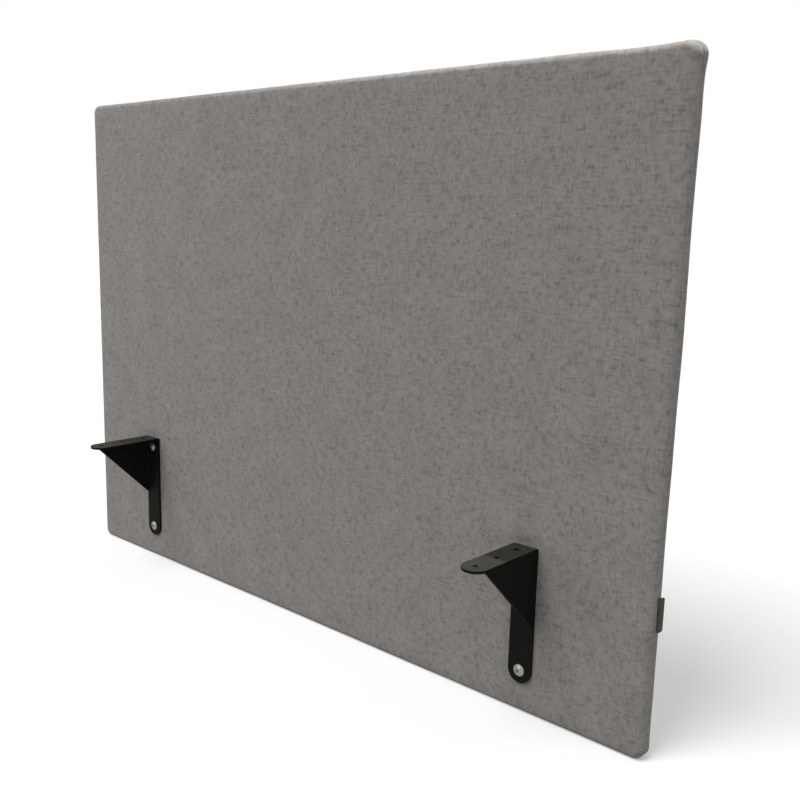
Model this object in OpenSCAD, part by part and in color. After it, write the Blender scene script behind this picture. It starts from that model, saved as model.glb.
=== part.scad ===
// Acoustic divider screen for the edge of a desk.
// A timber frame with sound-absorbing cores is padded and covered in cloth on both sides.
// Two handed angle brackets are screwed to its front face and carry it from under the desk top.
// X runs along the screen, Y from the desk through the panel to its back, and Z is up.
// The origin is in the middle of the desk screw holes, level with the top of the brackets' flanges.
// The pieces are drawn with the panel's front face at Y zero, and in_place() moves them to the origin.

/* [Panel] */
// Length of the upholstered panel
panel_w = 1000; // [700:10:1800]
// Height of the upholstered panel
panel_h = 700; // [450:10:1000]
// How far the panel hangs below the underside of the desk top
panel_drop = 195; // [190:5:260]
// Depth of the timber frame and of the cores in it
frame_t = 16; // [15:0.5:24]
// Thickness of the padding on each face and round the edges
padding_t = 2.2; // [1.5:0.1:3]
// Thickness of the cloth
cloth_t = 0.8; // [0.5:0.1:1]
// Radius of the soft long edges, seen in section
edge_r = 7; // [5:0.5:8.5]
// Radius of the four corners, seen from the front
corner_r = 12; // [10:0.5:20]

/* [Frame] */
// Width of the top and bottom rails
rail_w = 30; // [20:1:34]
// Width of the stiles at the two ends
stile_w = 30; // [20:1:45]
// Width of the posts that the brackets are screwed to
post_w = 60; // [40:1:90]
// Diameter of the dowels between rails, stiles and posts
dowel_d = 6; // [5:0.5:8]
// Length of the dowels
dowel_l = 28; // [20:1:30]

/* [Brackets] */
// Distance from each end of the panel to the middle of its bracket
bracket_inset = 150; // [110:5:220]
// Width of the flat bar
bar_w = 30; // [26:1:40]
// Thickness of the flat bar and of the gusset
bar_t = 3; // [2:0.5:4]
// Inside radius of the bend between flange and strip
bend_r = 1; // [0.5:0.5:2]
// Distance from the panel to the first desk screw hole
desk_hole_first = 20; // [14:1:30]
// Distance between the desk screw holes along a flange
desk_hole_pitch = 36; // [24:1:50]
// Diameter of the desk screw holes
desk_hole_d = 6; // [4:0.5:7]
// Distance from the flange's top down to the upper panel screw
screw_drop = 16; // [14:0.5:20]
// Distance between the two panel screws of a bracket
screw_pitch = 128; // [96:1:132]
// Length of the gusset down the strip, from the flange's top
gusset_drop = 89; // [60:1:110]
// Blunt ends of the gusset, square to the bar
gusset_nose = 2; // [1:0.5:4]

/* [Panel screws and inserts] */
// Thread diameter of the panel screws
screw_d = 6; // [5:0.5:6]
// Length of the screws under the head
screw_l = 16; // [12:1:18]
// Diameter of the collar under a screw's head
collar_d = 13.6; // [11:0.1:15]
// Thickness of the collar
collar_t = 0.9; // [0.6:0.1:1.2]
// Diameter of the domed head where it meets the collar
dome_d = 10.5; // [9:0.1:11]
// Height of the whole head
head_h = 3.3; // [2.8:0.1:4]
// Width across the flats of the hexagon socket
socket_af = 4; // [3:0.5:5]
// Depth of the hexagon socket
socket_depth = 2; // [1.5:0.1:2.4]
// Outside diameter of the threaded inserts in the posts
insert_d = 10; // [9:0.5:12]
// Length of the threaded inserts
insert_l = 12; // [10:0.5:14]
// Diameter of the flat rim at an insert's mouth
rim_d = 13; // [12.5:0.5:16]
// Thickness of that rim
rim_t = 1; // [0.8:0.1:1.5]

/* [Closing strip and label] */
// Thickness of the strip that closes the cover along the bottom edge
strip_t = 2; // [1:0.1:2.2]
// Width of a staple's crown
staple_w = 12; // [10:0.5:14]
// Length of a staple's legs
staple_l = 10; // [8:0.5:14]
// Width of the flat staple wire
wire_w = 0.95; // [0.8:0.05:1.2]
// Thickness of the flat staple wire
wire_t = 0.65; // [0.5:0.05:0.8]
// Distance between the staples, at most
staple_pitch = 80; // [40:5:120]
// Height of the side label
label_h = 33; // [20:1:50]
// How far the side label stands out of the seam
label_out = 6; // [4:0.5:12]
// Thickness of the folded side label
label_t = 1; // [0.6:0.1:1.4]
// Radius of the label's lower outer corner
label_r = 3; // [1:0.5:4]
// Height of the label's middle above the bottom edge
label_up = 157; // [60:1:300]

/* [Clearances] */
// Gap round each core in its bay
core_gap = 0.3; // [0.1:0.1:0.5]
// Gap all round dowels, inserts, staples and the label in their seats
seat_gap = 0.1; // [0.05:0.05:0.2]
// Gap all round a screw in cloth, padding and bracket
screw_gap = 0.3; // [0.2:0.1:0.5]
// Gap all round a screw in the thread of its insert
thread_gap = 0.05; // [0.02:0.01:0.1]
// Gap on each side of the closing strip
strip_gap = 0.2; // [0.1:0.1:0.4]

/* [Hidden] */
$fn = 96;

// One overrun serves every cut
over = 1;

// Sections through the panel
skin_t = cloth_t + padding_t;
panel_t = frame_t + 2 * skin_t;
panel_mid = panel_t / 2;
flat_t = panel_t - 2 * edge_r;

// Heights in the panel
bottom_z = -panel_drop;
top_z = panel_h - panel_drop;
rail_top_z = bottom_z + skin_t + rail_w;
rail_under_z = top_z - skin_t - rail_w;

// Places along the panel
post_x = panel_w / 2 - bracket_inset;
stile_x = panel_w / 2 - skin_t - stile_w / 2;

// Bracket lengths that follow from its holes and its round ends
bar_r = bar_w / 2;
desk_holes = 3;
flange_straight = desk_hole_first + (desk_holes - 1) * desk_hole_pitch;
front_y = (desk_hole_first + flange_straight) / 2;
strip_straight = screw_drop + screw_pitch;
bend_out = bend_r + bar_t;
upper_z = -screw_drop;
lower_z = -strip_straight;

// Dowels stand at a share of each upright's width from its middle
dowel_share = 0.25;
dowel_end_gap = 0.5;

// The closing strip ends where the bottom corners begin
strip_l = panel_w - 2 * corner_r;
staple_margin = 20;
staple_run = strip_l - 2 * staple_margin;
staple_gaps = ceil(staple_run / staple_pitch);

// Colours as the finished pieces show them
timber_colour = [0.80, 0.66, 0.47];
core_colour = [0.62, 0.62, 0.60];
padding_colour = [0.88, 0.88, 0.86];
cloth_colour = [0.48, 0.465, 0.45];
strip_colour = [0.16, 0.16, 0.16];
label_colour = [0.22, 0.21, 0.19];
coat_colour = [0.07, 0.07, 0.065];
zinc_colour = [0.70, 0.70, 0.66];
brass_colour = [0.72, 0.60, 0.34];

// Moves a piece drawn from the panel's front face to its place from the desk screw holes
module in_place() {
    translate([0, front_y, 0]) children();
}

// Section of the panel from a corner's centre out to the edge, drawn in by inset
module edge_section(inset) {
    reach = corner_r - inset;
    r = edge_r - inset;
    t = panel_t - 2 * inset;
    intersection() {
        translate([0, -t / 2]) square([reach, t]);
        union() {
            translate([0, -t / 2]) square([reach - r, t]);
            translate([0, r - t / 2]) square([reach, t - 2 * r]);
            for (side = [-1, 1])
                translate([reach - r, side * (t / 2 - r)]) circle(r);
        }
    }
}

// The panel's whole form with its soft edges and round corners, drawn in by inset
module soft_block(inset) {
    half_w = panel_w / 2 - corner_r;
    half_h = panel_h / 2 - corner_r;
    t = panel_t - 2 * inset;
    translate([0, panel_mid, bottom_z + panel_h / 2]) {
        cube([2 * half_w, t, 2 * half_h], center = true);
        for (side = [0, 1]) {
            mirror([side, 0, 0])
                translate([half_w, 0, -half_h])
                    linear_extrude(2 * half_h) edge_section(inset);
            mirror([0, 0, side])
                rotate([0, -90, 0])
                    translate([half_h, 0, -half_w])
                        linear_extrude(2 * half_w) edge_section(inset);
            for (end = [0, 1])
                mirror([side, 0, 0])
                    mirror([0, 0, end])
                        translate([half_w, 0, half_h])
                            rotate([90, 0, 0])
                                rotate_extrude(angle = 90) edge_section(inset);
        }
    }
}

// A box across the whole depth of the panel, between two places along it and two heights
module through_box(x0, x1, z0, z1) {
    translate([x0, -over, z0])
        cube([x1 - x0, panel_t + 2 * over, z1 - z0]);
}

// One half of a skin that wraps the panel and ends at the seam in the middle of its edges
module skin_half(outer, inner, back) {
    intersection() {
        difference() {
            soft_block(outer);
            soft_block(inner);
        }
        translate([-panel_w, back ? panel_mid : -over, bottom_z - over])
            cube([2 * panel_w, panel_mid + over, panel_h + 2 * over]);
    }
}

// The channel along the bottom edge that the closing strip fills
module strip_channel() {
    translate([-strip_l / 2, panel_mid - flat_t / 2, bottom_z - over])
        cube([strip_l, flat_t, skin_t + over]);
}

// The slot in the right-hand seam that the label's tail is sewn into
module label_slot() {
    translate([
        panel_w / 2 - skin_t,
        panel_mid - label_t / 2 - seat_gap,
        bottom_z + label_up - label_h / 2 - seat_gap
    ])
        cube([skin_t + over, label_t + 2 * seat_gap, label_h + 2 * seat_gap]);
}

// Puts its children at the four panel screws, with Z pointing out of the front face
module at_screws() {
    for (side = [-1, 1], z = [upper_z, lower_z])
        at_screw(side, z) children();
}

module at_screw(side, z) {
    translate([side * post_x, 0, z]) rotate([90, 0, 0]) children();
}

// Holes for the four screws through cloth and padding
module skin_screw_holes() {
    at_screws()
        translate([0, 0, -skin_t - over])
            cylinder(h = skin_t + 2 * over, d = screw_d + 2 * screw_gap);
}

// Puts its children at each dowel of an upright, at the joint with a rail
module at_dowels(x, width, joint_z) {
    for (side = [-1, 1])
        translate([x + side * width * dowel_share, panel_mid, joint_z]) children();
}

module dowel_hole() {
    cylinder(h = dowel_l + 2 * dowel_end_gap, d = dowel_d + 2 * seat_gap, center = true);
}

module dowel() {
    cylinder(h = dowel_l, d = dowel_d, center = true);
}

// Puts its children at every dowel along a rail
module at_rail_dowels(joint_z) {
    for (side = [-1, 1]) {
        at_dowels(side * stile_x, stile_w, joint_z) children();
        at_dowels(side * post_x, post_w, joint_z) children();
    }
}

module rail(low_z, high_z, joint_z) {
    difference() {
        intersection() {
            soft_block(skin_t);
            through_box(-panel_w / 2, panel_w / 2, low_z, high_z);
        }
        at_rail_dowels(joint_z) dowel_hole();
    }
}

// A stile or post between the two rails
module upright(x, width) {
    difference() {
        intersection() {
            soft_block(skin_t);
            through_box(x - width / 2, x + width / 2, rail_top_z, rail_under_z);
        }
        for (joint_z = [rail_top_z, rail_under_z])
            at_dowels(x, width, joint_z) dowel_hole();
    }
}

// Seats of the threaded inserts in the front face of the timber that lies behind the brackets
module insert_seats() {
    at_screws() {
        translate([0, 0, -skin_t - insert_l - seat_gap])
            cylinder(h = insert_l + over, d = insert_d + 2 * seat_gap);
        translate([0, 0, -skin_t - rim_t - seat_gap])
            cylinder(h = rim_t + seat_gap + over, d = rim_d + 2 * seat_gap);
    }
}

module post(side) {
    difference() {
        upright(side * post_x, post_w);
        insert_seats();
    }
}

// A core that fills one bay of the frame
module core(x0, x1) {
    translate([x0 + core_gap, skin_t, rail_top_z + core_gap])
        cube([x1 - x0 - 2 * core_gap, frame_t, rail_under_z - rail_top_z - 2 * core_gap]);
}

// Puts its children at each staple along the closing strip
module at_staples() {
    for (i = [0 : staple_gaps])
        translate([i * staple_run / staple_gaps - staple_run / 2, panel_mid, bottom_z + skin_t - strip_t])
            children();
}

// A staple seen as it sits: its crown under the strip and its legs up through strip and rail
module staple(gap) {
    wire = wire_w + 2 * gap;
    leg = wire_t + 2 * gap;
    translate([-staple_w / 2 - gap, -wire / 2, -wire_t])
        cube([staple_w + 2 * gap, wire, wire_t]);
    for (side = [-1, 1])
        translate([side * (staple_w - wire_t) / 2 - leg / 2, -wire / 2, -wire_t])
            cube([leg, wire, staple_l + gap + wire_t]);
}

// Flat outline of a bar from the bend to its full-round end, along -Y
module bar_outline(straight) {
    translate([-bar_r, -straight]) square([bar_w, straight - bend_out]);
    translate([0, -straight]) circle(bar_r);
}

// The angle bracket at mid-length, with its gusset on the side of +X
module bracket() {
    difference() {
        union() {
            // flange under the desk top
            translate([0, 0, -bar_t]) linear_extrude(bar_t) bar_outline(flange_straight);
            // strip down the panel
            rotate([90, 0, 0]) linear_extrude(bar_t) bar_outline(strip_straight);
            // bend between the two
            translate([-bar_r, -bend_out, -bend_out])
                rotate([90, 0, 90])
                    rotate_extrude(angle = 90)
                        translate([bend_r, 0]) square([bar_t, bar_w]);
            // gusset along the outer edge
            translate([bar_r - bar_t, 0, 0])
                rotate([90, 0, 90])
                    linear_extrude(bar_t)
                        polygon([
                            [-bar_t, -bar_t],
                            [-flange_straight, -bar_t],
                            [-flange_straight, -bar_t - gusset_nose],
                            [-bar_t - gusset_nose, -gusset_drop],
                            [-bar_t, -gusset_drop]
                        ]);
        }
        for (i = [0 : desk_holes - 1])
            translate([0, -desk_hole_first - i * desk_hole_pitch, -bar_t - over])
                cylinder(h = bar_t + 2 * over, d = desk_hole_d);
        for (z = [upper_z, lower_z])
            translate([0, over, z])
                rotate([90, 0, 0])
                    cylinder(h = bar_t + 2 * over, d = screw_d + 2 * screw_gap);
    }
}

// Screw with a domed head on a collar, its seat at zero and its head towards +Z
module panel_screw() {
    dome_h = head_h - collar_t;
    dome_r = (pow(dome_d / 2, 2) + pow(dome_h, 2)) / (2 * dome_h);
    difference() {
        union() {
            translate([0, 0, -screw_l]) cylinder(h = screw_l, d = screw_d);
            cylinder(h = collar_t, d = collar_d);
            rotate_extrude()
                intersection() {
                    translate([0, head_h - dome_r]) circle(dome_r);
                    translate([0, collar_t]) square([dome_d / 2, dome_h]);
                }
        }
        translate([0, 0, head_h - socket_depth])
            cylinder(h = socket_depth + over, d = socket_af / cos(30), $fn = 6);
    }
}

// Threaded insert, its mouth at zero and its body towards -Z
module insert() {
    difference() {
        union() {
            translate([0, 0, -insert_l]) cylinder(h = insert_l, d = insert_d);
            translate([0, 0, -rim_t]) cylinder(h = rim_t, d = rim_d);
        }
        translate([0, 0, -insert_l - over])
            cylinder(h = insert_l + 2 * over, d = screw_d + 2 * thread_gap);
    }
}

module placed_screw(side, z) {
    color(zinc_colour) in_place() at_screw(side, z) translate([0, 0, bar_t]) panel_screw();
}

module placed_insert(side, z) {
    color(brass_colour) in_place() at_screw(side, z) translate([0, 0, -skin_t]) insert();
}

module top_rail() {
    color(timber_colour) in_place() rail(rail_under_z, top_z, rail_under_z);
}

module bottom_rail() {
    color(timber_colour) in_place()
        difference() {
            rail(bottom_z, rail_top_z, rail_top_z);
            insert_seats();
            at_staples() staple(seat_gap);
        }
}

module left_stile() {
    color(timber_colour) in_place() upright(-stile_x, stile_w);
}

module right_stile() {
    color(timber_colour) in_place() upright(stile_x, stile_w);
}

module left_post() {
    color(timber_colour) in_place() post(-1);
}

module right_post() {
    color(timber_colour) in_place() post(1);
}

module frame_dowels() {
    color(timber_colour) in_place()
        for (joint_z = [rail_top_z, rail_under_z])
            at_rail_dowels(joint_z) dowel();
}

module left_core() {
    color(core_colour) in_place() core(stile_w / 2 - stile_x, -post_x - post_w / 2);
}

module centre_core() {
    color(core_colour) in_place() core(post_w / 2 - post_x, post_x - post_w / 2);
}

module right_core() {
    color(core_colour) in_place() core(post_x + post_w / 2, stile_x - stile_w / 2);
}

module front_padding() {
    color(padding_colour) in_place()
        difference() {
            skin_half(cloth_t, skin_t, false);
            strip_channel();
            label_slot();
            skin_screw_holes();
        }
}

module back_padding() {
    color(padding_colour) in_place()
        difference() {
            skin_half(cloth_t, skin_t, true);
            strip_channel();
            label_slot();
        }
}

module front_cloth() {
    color(cloth_colour) in_place()
        difference() {
            skin_half(0, cloth_t, false);
            strip_channel();
            label_slot();
            skin_screw_holes();
        }
}

module back_cloth() {
    color(cloth_colour) in_place()
        difference() {
            skin_half(0, cloth_t, true);
            strip_channel();
            label_slot();
        }
}

module closing_strip() {
    color(strip_colour) in_place()
        difference() {
            translate([-strip_l / 2 + strip_gap, panel_mid - flat_t / 2 + strip_gap, bottom_z + skin_t - strip_t])
                cube([strip_l - 2 * strip_gap, flat_t - 2 * strip_gap, strip_t]);
            at_staples() staple(seat_gap);
        }
}

module closing_staples() {
    color(zinc_colour) in_place() at_staples() staple(0);
}

// The label is a folded band: its fold is outside and its two ends are sewn into the seam
module side_label() {
    tail = skin_t - seat_gap;
    color(label_colour) in_place()
        translate([panel_w / 2 - tail, panel_mid, bottom_z + label_up])
            intersection() {
                translate([0, 0, -label_h / 2])
                    linear_extrude(label_h) {
                        translate([0, -label_t / 2]) square([tail + label_out - label_t / 2, label_t]);
                        translate([tail + label_out - label_t / 2, 0]) circle(d = label_t);
                    }
                rotate([90, 0, 0])
                    linear_extrude(label_t + 2 * over, center = true) {
                        translate([-over, label_r - label_h / 2])
                            square([tail + label_out + over, label_h - label_r]);
                        translate([-over, -label_h / 2])
                            square([tail + label_out - label_r + over, label_h]);
                        translate([tail + label_out - label_r, label_r - label_h / 2]) circle(label_r);
                    }
            }
}

module right_bracket() {
    color(coat_colour) in_place() translate([post_x, 0, 0]) bracket();
}

module left_bracket() {
    color(coat_colour) in_place() mirror([1, 0, 0]) translate([post_x, 0, 0]) bracket();
}

module left_upper_screw() { placed_screw(-1, upper_z); }
module left_lower_screw() { placed_screw(-1, lower_z); }
module right_upper_screw() { placed_screw(1, upper_z); }
module right_lower_screw() { placed_screw(1, lower_z); }

module left_upper_insert() { placed_insert(-1, upper_z); }
module left_lower_insert() { placed_insert(-1, lower_z); }
module right_upper_insert() { placed_insert(1, upper_z); }
module right_lower_insert() { placed_insert(1, lower_z); }

top_rail();
bottom_rail();
left_stile();
right_stile();
left_post();
right_post();
frame_dowels();
left_core();
centre_core();
right_core();
front_padding();
back_padding();
front_cloth();
back_cloth();
closing_strip();
closing_staples();
side_label();
left_bracket();
right_bracket();
left_upper_screw();
left_lower_screw();
right_upper_screw();
right_lower_screw();
left_upper_insert();
left_lower_insert();
right_upper_insert();
right_lower_insert();
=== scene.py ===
import math

import bmesh
import bpy
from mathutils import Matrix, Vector, noise


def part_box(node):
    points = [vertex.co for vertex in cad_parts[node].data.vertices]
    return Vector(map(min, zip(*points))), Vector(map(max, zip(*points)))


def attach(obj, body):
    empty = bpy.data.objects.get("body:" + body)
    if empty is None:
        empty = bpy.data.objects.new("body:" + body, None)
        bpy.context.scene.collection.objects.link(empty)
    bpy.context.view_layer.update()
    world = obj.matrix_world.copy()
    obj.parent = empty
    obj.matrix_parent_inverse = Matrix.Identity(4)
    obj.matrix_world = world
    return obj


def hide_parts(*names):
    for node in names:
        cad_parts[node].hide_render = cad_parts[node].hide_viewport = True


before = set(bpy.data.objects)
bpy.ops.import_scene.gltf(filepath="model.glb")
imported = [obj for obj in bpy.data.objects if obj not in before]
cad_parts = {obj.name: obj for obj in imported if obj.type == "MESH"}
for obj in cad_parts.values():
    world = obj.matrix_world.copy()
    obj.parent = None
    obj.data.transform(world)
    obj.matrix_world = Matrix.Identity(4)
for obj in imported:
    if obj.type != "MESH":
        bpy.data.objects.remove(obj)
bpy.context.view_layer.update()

MM = 0.001

# The panel, from the solids
PANEL_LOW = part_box("front_cloth")[0]
PANEL_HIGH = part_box("back_cloth")[1]
MIDDLE = (PANEL_LOW + PANEL_HIGH) / 2
HALF_W = (PANEL_HIGH.x - PANEL_LOW.x) / 2
HALF_H = (PANEL_HIGH.z - PANEL_LOW.z) / 2
HALF_T = (PANEL_HIGH.y - PANEL_LOW.y) / 2
EDGE_R = 7 * MM
CORNER_R = 12 * MM
FLAT_HALF = HALF_T - EDGE_R

# Cloth, and the wadding inside it: how deep it starts, and its own lip, tuck and gap at the seam
CLOTH_T = 0.8 * MM
WADDING_T = 2.1 * MM
UNDER_CLOTH = 0.85 * MM
WADDING_LIP_R = 0.3 * MM
WADDING_TUCK = 0.9 * MM
WADDING_GAP = 1.1 * MM

# The cover's seam, the channel of its closing strip and the slot of its label
SEAM_GAP = 0.15 * MM
LABEL_GAP = 0.6 * MM
LABEL_EASE = 1.5 * MM
LABEL_MORE = 3.8 * MM
CHANNEL_GAP = FLAT_HALF
LIP_R = 0.55 * MM
TUCK = 2.4 * MM
# Cosine of the heading from which a section belongs to the end with the label
END_COSINE = 0.99

# The cover's mesh: its cells, its sections round a corner in degrees, and the steps of a section
CELL = 6 * MM
CORNER_TURNS = (1.5, *range(9, 90, 9), 88.5)
LIP_STEPS = 3
EDGE_STEPS = 12

# Cutters of the screw holes through cloth and wadding
SKIN_HOLE_L = 12 * MM
SKIN_HOLE_SIDES = 24

# Brackets and the places of their screws
BAR_T = 3 * MM
BAR_HOLE_L = 4 * BAR_T
BAR_R = 15 * MM
BAR_EDGE = 0.3 * MM
BEND_IN = 1 * MM
BEND_OUT = BEND_IN + BAR_T
BEND_IN_STEPS = 5
BEND_OUT_STEPS = 10
END_STEPS = 18
GUSSET_DROP = 89 * MM
GUSSET_NOSE = 2 * MM
GUSSET_SUNK = 1 * MM
WELD_R = 1.2 * MM
WELD_STEPS = 3
DESK_HOLES = (36 * MM, 0, -36 * MM)
DESK_HOLE_R = 3 * MM
SCREW_HOLE_R = 3.3 * MM
SCREW_Z = {"upper": -16 * MM, "lower": -144 * MM}
SIDES = {"left": -1, "right": 1}
POST_X = 350 * MM

# Screws: shank, collar, dome and hexagon socket. A bevel has a width and its steps
SCREW_R = 3 * MM
SCREW_L = 16 * MM
POINT_BEVEL = (0.6 * MM, 2)
SHANK_SIDES = 40
COLLAR_R = 6.8 * MM
COLLAR_T = 0.9 * MM
COLLAR_TOP_BEVEL = (0.3 * MM, 3)
COLLAR_FOOT_BEVEL = (0.12 * MM, 2)
DOME_R = 5.25 * MM
DOME_SUNK = 0.1 * MM
HEAD_H = 3.3 * MM
HEAD_EDGE = 0.1 * MM
HEAD_SIDES = 64
SOCKET_R = 2.31 * MM
SOCKET_DEPTH = 2 * MM
SOCKET_SIDES = 6

# Label: its band, how it leans back and rises towards its fold, and its outer corners
LABEL_T = 0.4 * MM
LABEL_LEAN = 1.4 * MM
LABEL_LEAN_POWER = 1.5
LABEL_RISE = 2 * MM
LABEL_ROUNDING = {"lower": 3.2 * MM, "upper": 1.2 * MM}
LABEL_ROWS = 46
LABEL_STEPS = 6
LABEL_BENDS = 6

# How far off a face or an edge may lie when it is picked by its place
HAIR = 0.1 * MM
SLACK = 1 * MM
# What a full round leaves of a flat bar's end
ROUND_LEAVES = 0.005 * MM


# Small tools for modelling

def only(piece):
    """Leaves one piece selected and active, so that the next operator acts on it alone."""
    bpy.ops.object.select_all(action="DESELECT")
    piece.select_set(True)
    bpy.context.view_layer.objects.active = piece


def named(name):
    """Names the active object and its mesh."""
    piece = bpy.context.active_object
    piece.name = name
    piece.data.name = name
    return piece


def settle(piece):
    """Puts a piece's place, turn and scale into its mesh."""
    only(piece)
    bpy.ops.object.transform_apply(location=True, rotation=True, scale=True)
    return piece


def copied(piece, name):
    """A copy of a piece with a mesh of its own."""
    only(piece)
    bpy.ops.object.duplicate()
    return named(name)


def block(name, low, high):
    """A box between two corners, to be shaped further."""
    low, high = Vector(low), Vector(high)
    bpy.ops.object.select_all(action="DESELECT")
    bpy.ops.mesh.primitive_cube_add(size=1, location=(low + high) / 2, scale=high - low)
    return settle(named(name))


def rod(name, centre, radius, length, axis, sides=48):
    """A straight round or many-sided rod along Y or Z."""
    turn = (math.pi / 2, 0, 0) if axis == "Y" else (0, 0, 0)
    bpy.ops.object.select_all(action="DESELECT")
    bpy.ops.mesh.primitive_cylinder_add(
        vertices=sides, radius=radius, depth=length, location=centre, rotation=turn
    )
    return settle(named(name))


def pick(piece, kind, wanted):
    """Selects, in edit mode, the edges or faces of a piece whose corners all pass a test."""
    bpy.ops.mesh.select_all(action="DESELECT")
    bpy.ops.mesh.select_mode(type=kind)
    mesh = bmesh.from_edit_mesh(piece.data)
    parts = mesh.edges if kind == "EDGE" else mesh.faces
    for part in parts:
        part.select_set(all(wanted(corner.co) for corner in part.verts))
    bmesh.update_edit_mesh(piece.data)


def near(a, b, within=0.02 * MM):
    """True where two places are as good as the same."""
    return abs(a - b) < within


def edit_all(piece):
    """Starts edit mode on a piece, with all of its mesh selected."""
    only(piece)
    bpy.ops.object.mode_set(mode="EDIT")
    bpy.ops.mesh.select_all(action="SELECT")


def bevel_edges(piece, wanted, width, steps):
    """Bevels the edges of a piece whose corners all pass a test."""
    edit_all(piece)
    pick(piece, "EDGE", wanted)
    bpy.ops.mesh.bevel(offset=width, segments=steps, affect="EDGES")
    bpy.ops.object.mode_set(mode="OBJECT")


def modified(piece, kind, **values):
    """Adds one modifier to a piece, sets its values and applies it."""
    only(piece)
    modifier = piece.modifiers.new(kind.lower(), kind)
    for key, value in values.items():
        setattr(modifier, key, value)
    bpy.ops.object.modifier_apply(modifier=modifier.name)


def combined(piece, tool, operation):
    """Joins a tool's body to a piece or cuts it out, and deletes the tool."""
    modified(piece, "BOOLEAN", object=tool, operation=operation, solver="EXACT")
    bpy.data.objects.remove(tool)


def merged(piece, within=0.01 * MM, flat_within=0.1):
    """Merges doubles and flat joints, and points every face outwards."""
    edit_all(piece)
    bpy.ops.mesh.remove_doubles(threshold=within)
    bpy.ops.mesh.dissolve_limited(angle_limit=math.radians(flat_within))
    bpy.ops.mesh.normals_make_consistent(inside=False)
    bpy.ops.object.mode_set(mode="OBJECT")


def shade_smooth(piece, over=50):
    """Shades a piece smooth, apart from edges that are sharper than an angle."""
    only(piece)
    bpy.ops.object.shade_smooth_by_angle(angle=math.radians(over))


def softened(piece, width, steps=2, over=30, shaded_over=45):
    """Rounds the edges that are sharper than an angle and shades the piece smooth."""
    modified(
        piece, "BEVEL", width=width, segments=steps, limit_method="ANGLE",
        angle_limit=math.radians(over), use_clamp_overlap=True,
    )
    shade_smooth(piece, shaded_over)
    modified(piece, "WEIGHTED_NORMAL", keep_sharp=True, weight=100)


def smoothstep(low, high, value):
    """Rises smoothly from 0 to 1 as a value goes from low to high."""
    share = min(max((value - low) / (high - low), 0), 1)
    return share * share * (3 - 2 * share)


# Shader parts shared by several materials

FLOAT = "NodeSocketFloat"
VECTOR = "NodeSocketVector"
# Sockets of a Mix node by their place, because its numbers and colours have the same names
MIX_NUMBERS = (2, 3)
MIX_COLOURS = (6, 7)
MIXED_COLOUR = 2


def new_group(name, inputs, outputs):
    """An empty node group: inputs with a kind and a first value or None, and outputs of numbers."""
    group = bpy.data.node_groups.new(name, "ShaderNodeTree")
    for socket, kind, value in inputs:
        made = group.interface.new_socket(socket, in_out="INPUT", socket_type=kind)
        if value is not None:
            made.default_value = value
    for socket in outputs:
        group.interface.new_socket(socket, in_out="OUTPUT", socket_type=FLOAT)
    start = group.nodes.new("NodeGroupInput")
    end = group.nodes.new("NodeGroupOutput")
    return group, start.outputs, end.inputs


def put_out(group, out, **results):
    """Links what a group has worked out to its outputs."""
    for name, value in results.items():
        group.links.new(value, out[name])
    return group


def node(tree, kind, **values):
    """Adds a shader node. A value for an input is a number, a colour or another node's output."""
    made = tree.nodes.new("ShaderNode" + kind)
    inputs = values.pop("inputs", {})
    for key, value in values.items():
        setattr(made, key, value)
    for key, value in inputs.items():
        if isinstance(value, bpy.types.NodeSocket):
            tree.links.new(value, made.inputs[key])
        else:
            made.inputs[key].default_value = value
    return made


def math_node(tree, operation, a, b=0.0, c=None, clamp=False):
    """The result of a calculation with up to three numbers."""
    inputs = {0: a, 1: b} if c is None else {0: a, 1: b, 2: c}
    return node(tree, "Math", operation=operation, use_clamp=clamp, inputs=inputs).outputs[0]


def eased(tree, value, low, high, kind="SMOOTHSTEP"):
    """Rises from 0 to 1 as a value goes from low to high, softly or in a straight line."""
    return node(
        tree, "MapRange", interpolation_type=kind,
        inputs={"Value": value, "From Min": low, "From Max": high},
    ).outputs[0]


def even_noise(tree, place, scale, detail, rough=0.5, distortion=0.0):
    """Noise as a number and as a colour: scale gives the repeats in a metre."""
    return node(
        tree, "TexNoise",
        inputs={
            "Vector": place, "Scale": scale, "Detail": detail, "Roughness": rough,
            "Distortion": distortion,
        },
    ).outputs


def stretched_noise(tree, place, scale, detail, rough=0.5, turn=(0, 0, 0)):
    """Noise whose size differs along each axis: scale gives the repeats in a metre."""
    mapped = node(tree, "Mapping", inputs={"Vector": place, "Scale": scale, "Rotation": turn})
    return even_noise(tree, mapped.outputs[0], 1.0, detail, rough)[0]


# Noises of the woven cloth, by their repeats in a metre along weft and warp
WEFT_SLUBS = {"scale": (95, 360, 1), "detail": 3.0, "rough": 0.55}
WARP_SLUBS = {"scale": (340, 105, 1), "detail": 3.0, "rough": 0.55}
CLOUDS = {"scale": (105, 105, 1), "detail": 5.0, "rough": 0.68}
DRIFT = {"scale": (22, 22, 1), "detail": 3.0, "rough": 0.6}
TINTS = {"scale": (90, 90, 1), "detail": 3.0, "rough": 0.55, "turn": (0, 0, 0.7)}

# The cloth's even tone, and how much slubs, drift, clouds and dark flecks add to it or take away
GROUND_TONE = 0.895
SLUB_SHARE = 0.65
DRIFT_SHARE = 0.5
CLOUD_SHARE = 0.6
FLECK_SHARE = 0.33
# Flecks are where the thinnest yarns lie: how much the clouds gather them, and how they set in
FLECK_CLOUDS = 0.7
FLECK_RANGE = (-0.13, 0.15)
# Where the tint and the gaps set in, how high slubs stand, and yarns in a metre
TINT_RANGE = (0.25, 0.75)
GAP_RANGE = (0.0, 0.55)
SLUB_HEIGHT = 0.7
THREADS = 1250.0


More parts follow.
